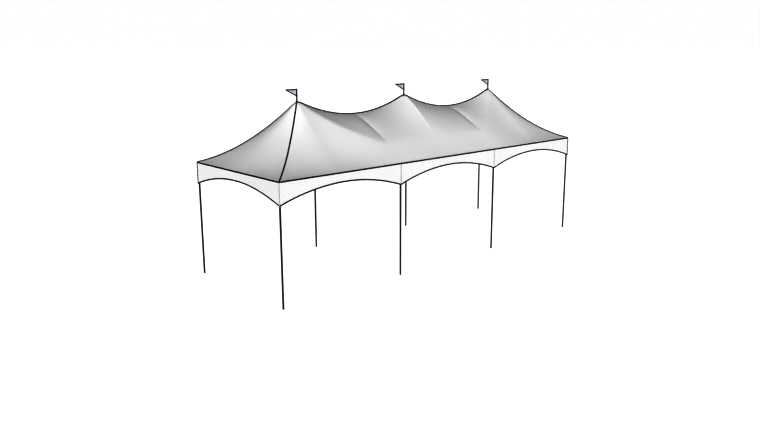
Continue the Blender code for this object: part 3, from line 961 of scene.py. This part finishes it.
def flag_mesh(peak_x):
    """The rippling cloth, with a blunt fly end."""
    columns = [*(i / FLAG_STEPS for i in range(FLAG_STEPS)), FLAG_END]
    levels = [j / FLAG_ROWS for j in range(FLAG_ROWS + 1)]
    rows = [[flag_point(peak_x, u, v) for v in levels] for u in columns]
    return thickened("flag", sheet_mesh("flag", rows), FLAG_THICKNESS, offset=0.0)


def binding_mesh(peak_x, edge):
    """Dark tape folded over a pennant's lower edge, 0, or its upper edge, 1."""
    out = Vector((0, BINDING_HALF_DEPTH, 0))
    sections = []
    for i in range(FLAG_STEPS + 1):
        u = FLAG_END * i / FLAG_STEPS
        share = min(BINDING_WIDTH / (PENNANT_HEIGHT * (1 - FLAG_CUT * u)), 1.0)
        rim = flag_point(peak_x, u, edge)
        inside = flag_point(peak_x, u, abs(edge - share))
        sections.append([rim - out, inside - out, inside + out, rim + out])
    return swept("edge", sections)


def sleeve_mesh(peak_x):
    """The sleeve round the rod on which the pennant turns."""
    high, low = PENNANT_TOP, PENNANT_TOP - PENNANT_HEIGHT
    start = (SLEEVE_BORE, high)
    profile = [start, (SLEEVE_RADIUS, high), (SLEEVE_RADIUS, low), (SLEEVE_BORE, low), start]
    return turned_mesh("sleeve", profile, sides=24, centre=(peak_x, 0, 0))


def make_pennants():
    """Each pennant: rippling cloth with dark bindings and a sleeve round its rod."""
    for bay, peak_x in PEAK_XS.items():
        body = f"pennant_{bay}"
        cloth = piece(f"flag_cloth_{bay}", flag_mesh(peak_x), pennant_cloth, body)
        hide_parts(f"pennant_{bay}")
        edges = [binding_mesh(peak_x, 0), binding_mesh(peak_x, 1), sleeve_mesh(peak_x)]
        edging = joined("flag_binding", edges)
        binding = piece(f"flag_binding_{bay}", edging, black_webbing, body)


def make_finials():
    """On each peak a domed cap, a socket, the collar that stops the pennant, and a rod with a round end."""
    stop = PENNANT_TOP - PENNANT_HEIGHT - SEAT
    skin_tip = TIP_HEIGHT + CAP_LIFT
    turns = [math.radians(degrees) for degrees in range(0, 91, 15)]
    profile = [
        *((ROD_RADIUS * math.sin(turn), PENNANT_TOP + ROD_END_HEIGHT * math.cos(turn)) for turn in turns),
        (ROD_RADIUS, stop),
        *((radius, stop + height) for radius, height in COLLAR_PROFILE),
        *((radius, skin_tip + height) for radius, height in CAP_PROFILE),
    ]
    for bay, peak_x in PEAK_XS.items():
        mesh = turned_mesh("finial", profile, centre=(peak_x, 0, 0))
        finial = piece(f"flag_rod_{bay}", mesh, cast_coat)
        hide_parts(f"finial_{bay}")


# Hardware under the skin


def prism(sides, radius, low, high):
    """An upright solid with a regular outline."""
    outline = circle(radius, sides)
    return swept("prism", [[(x, y, z) for x, y in outline] for z in (low, high)])


def hex_bolt_mesh(radius=PIN_RADIUS, reach=TUBE_RADIUS, nut=False):
    """A bolt along Z: washer and hexagon head, and a washer, nut and thread at its other end if asked."""
    washer, hexagon, thread = (radius * share for share in (WASHER_SHARE, HEXAGON_SHARE, THREAD_SHARE))
    parts = [
        prism(24, washer, reach, reach + WASHER_THICKNESS),
        prism(6, hexagon, reach + WASHER_THICKNESS, reach + WASHER_THICKNESS + HEAD_THICKNESS),
    ]
    if nut:
        nut_top = -reach - WASHER_THICKNESS
        nut_low = nut_top - NUT_THICKNESS
        parts.append(prism(24, washer, nut_top, -reach))
        parts.append(prism(6, hexagon, nut_low, nut_top))
        parts.append(prism(16, thread, nut_low - THREAD_LENGTH, nut_low))
    return joined("bolt", parts)


def make_bolts():
    """A bolt in every tube end, on its inner or under side, where it sits on its fitting's spigot."""
    bolt = hex_bolt_mesh()
    down = (0, 0, -1)
    spots = []
    for y in (-LEG_Y, LEG_Y):
        inward = -math.copysign(1, y)
        for number, x in enumerate(LEG_XS):
            at_corner = number in (0, len(LEG_XS) - 1)
            sideways = -math.copysign(1, x) if at_corner else 0
            spots.append(facing((x, y, BEAM_HEIGHT - BOLT_REACH), (sideways, inward, 0)))
            spots.append(facing((x, y + inward * BOLT_REACH, BEAM_HEIGHT), down))
            for direction in (-1, 1):
                if 0 <= number + direction < len(LEG_XS):
                    spots.append(facing((x + direction * BOLT_REACH, y, BEAM_HEIGHT), down))
    mesh = joined("bolts", [placed(bolt, spot) for spot in spots])
    return piece("frame_bolts", mesh, zinc)


def rope_mesh(start, end):
    """Six-strand wire rope between two points."""
    length = (end - start).length
    steps = int(length / ROPE_STEP)
    matrix = facing(start, end - start)
    corners = 2 * ROPE_STRANDS
    sections = []
    for i in range(steps + 1):
        z = length * i / steps
        twist = math.tau * z / ROPE_LAY
        section = []
        for k in range(corners):
            angle = math.tau * k / corners + twist
            radius = ROPE_RADIUS if k % 2 == 0 else ROPE_RADIUS * ROPE_GROOVE
            section.append(matrix @ Vector((radius * math.cos(angle), radius * math.sin(angle), z)))
        sections.append(section)
    return swept("rope", sections, crease=ROPE_CREASE)


def bar_between(start, end, half_width, half_height):
    """A flat bar between two points, its height upright."""
    along = (end - start).normalized()
    side = Vector((0, 0, 1)).cross(along).normalized() * half_width
    top = along.cross(side).normalized() * half_height
    corners = ((-1, -1), (1, -1), (1, 1), (-1, 1))
    return swept("bar", [[spot + side * a + top * b for a, b in corners] for spot in (start, end)])


def mast_ring(centre):
    """The ring at a mast's foot, with its edges eased."""
    upper = [
        (RING_BORE, RING_HALF - BORE_EASE),
        (RING_BORE + BORE_EASE, RING_HALF),
        (RING_RADIUS - RIM_EASE, RING_HALF),
        (RING_RADIUS, RING_HALF - RIM_EASE),
    ]
    lower = [(radius, -height) for radius, height in reversed(upper)]
    return turned_mesh("ring", [*upper, *lower, upper[0]], sides=64, centre=centre)


def rope_fittings(anchor, near):
    """The metal on one rope: a fork pinned to the lug, its socket, and a swage that the ring holds."""
    along = (near - anchor).normalized()
    side = Vector((0, 0, 1)).cross(along).normalized()
    across = facing(anchor, side)
    parts = []
    for direction in (-1, 1):
        root = anchor + side * direction * FORK_OFFSET
        start, end = root - along * FORK_BACK, root + along * FORK_FRONT
        parts.append(bar_between(start, end, FORK_HALF_WIDTH, FORK_HALF_HEIGHT))
    parts.append(placed(hex_bolt_mesh(reach=FORK_PIN_REACH, nut=True), across))
    parts.append(placed(turned_mesh("rod", PIN_PROFILE, sides=16), across))
    parts.append(placed(turned_mesh("socket", SOCKET_PROFILE, sides=24), facing(anchor, along)))
    swage_end = near - along * SWAGE_IN_RING
    parts.append(placed(turned_mesh("swage", SWAGE_PROFILE, sides=20), facing(swage_end, -along)))
    return parts


def make_cables():
    """In each bay the mast ring and four wire ropes with swaged ends and forks pinned to the lugs."""
    for index, (bay, peak_x) in enumerate(PEAK_XS.items()):
        centre = Vector((peak_x, 0, RING_HEIGHT))
        ropes, hardware = [], [mast_ring(centre)]
        for leg_x in LEG_XS[index : index + 2]:
            for leg_y in (-LEG_Y, LEG_Y):
                level = Vector((peak_x - leg_x, -leg_y, 0)).normalized()
                anchor = Vector((leg_x, leg_y, BEAM_HEIGHT)) + level * LUG_HOLE_REACH
                near = centre - level * RING_RADIUS * RING_HOLD
                along = (near - anchor).normalized()
                hardware.extend(rope_fittings(anchor, near))
                ropes.append(rope_mesh(anchor + along * ROPE_FROM_LUG, near - along * ROPE_FROM_RING))
        rope = piece(f"wire_ropes_{bay}", joined("ropes", ropes), zinc)
        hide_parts(f"cross_cables_{bay}")
        ends = piece(f"rope_ends_{bay}", joined("rope_ends", hardware), zinc)
        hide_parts(f"cross_cables_{bay}")


def finish_frame():
    """Coats on the tubes and the cast fittings, which keep their CAD shape."""
    for name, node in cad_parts.items():
        if name.startswith(("leg_", "eave_beam_", "crossbar_", "mast_")):
            finish = tube_coat
        elif name.startswith(("corner_fitting_", "side_fitting_")):
            finish = cast_coat
        else:
            continue
        for slot in node.material_slots:
            slot.material = finish


# Stage


def make_floor():
    """A studio floor that shines white, out to the horizon."""
    bm = bmesh.new()
    bmesh.ops.create_grid(bm, x_segments=1, y_segments=1, size=FLOOR_HALF)
    mesh = finished_mesh("floor", bm)
    floor = bpy.data.objects.new("floor", mesh)
    bpy.context.scene.collection.objects.link(floor)
    finish = Finish("floor")
    finish.fix("Base Color", (*FLOOR_GREY, 1))
    finish.fix("Roughness", 1.0)
    finish.fix("Specular IOR Level", 0.0)
    finish.fix("Emission Color", (1, 1, 1, 1))
    finish.fix("Emission Strength", 1.0)
    mesh.materials.append(finish.material)


def make_suns():
    """A soft key light low from the front left, and a lower one from the back right."""
    for name, towards, spread, strength in SUNS:
        light = bpy.data.lights.new(name, "SUN")
        light.angle = math.radians(spread)
        light.energy = strength
        lamp = bpy.data.objects.new(name, light)
        bpy.context.scene.collection.objects.link(lamp)
        lamp.rotation_euler = Vector(towards).to_track_quat("Z", "Y").to_euler()


def make_world():
    """A white backdrop a little way up from the horizon, and a dim even sky over it."""
    world = bpy.data.worlds.new("studio")
    world.use_nodes = True
    bpy.context.scene.world = world
    tree = world.node_tree
    background = tree.nodes["Background"]
    coords = tree.nodes.new("ShaderNodeTexCoord")
    split = tree.nodes.new("ShaderNodeSeparateXYZ")
    ramp = tree.nodes.new("ShaderNodeMapRange")
    ramp.interpolation_type = "SMOOTHSTEP"
    ramp.inputs["From Min"].default_value = WHITE_BAND_TOP
    ramp.inputs["From Max"].default_value = SKY_START
    ramp.inputs["To Min"].default_value = 1.0
    ramp.inputs["To Max"].default_value = SKY_LIGHT
    tree.links.new(coords.outputs["Generated"], split.inputs[0])
    tree.links.new(split.outputs["Z"], ramp.inputs["Value"])
    tree.links.new(ramp.outputs["Result"], background.inputs["Strength"])
    background.inputs["Color"].default_value = (1, 1, 1, 1)


def make_camera():
    """The camera at the photograph's place, angle and framing."""
    data = bpy.data.cameras.new("camera")
    data.sensor_fit = "HORIZONTAL"
    data.sensor_width = SENSOR_WIDTH
    data.lens = FOCAL_LENGTH
    data.shift_x = SHIFT_X
    data.shift_y = SHIFT_Y
    camera = bpy.data.objects.new("camera", data)
    bpy.context.scene.collection.objects.link(camera)
    camera.location = CAMERA_PLACE
    camera.rotation_euler = (math.radians(CAMERA_TILT), 0, math.radians(CAMERA_TURN))
    bpy.context.scene.camera = camera


def set_view():
    """Plain colours with deep contrast."""
    view = bpy.context.scene.view_settings
    view.view_transform = "Standard"
    view.gamma = VIEW_GAMMA


def main():
    make_camera()
    make_floor()
    make_suns()
    make_world()
    finish_frame()
    skins = make_skins()
    trim = make_ridge_trim() + make_hip_trim() + make_valley_welds() + make_peak_patches()
    eave = make_eave_band()
    walls = make_valances()
    seams = make_seam_tapes()
    make_pennants()
    make_finials()
    make_bolts()
    make_cables()
    set_view()


main()
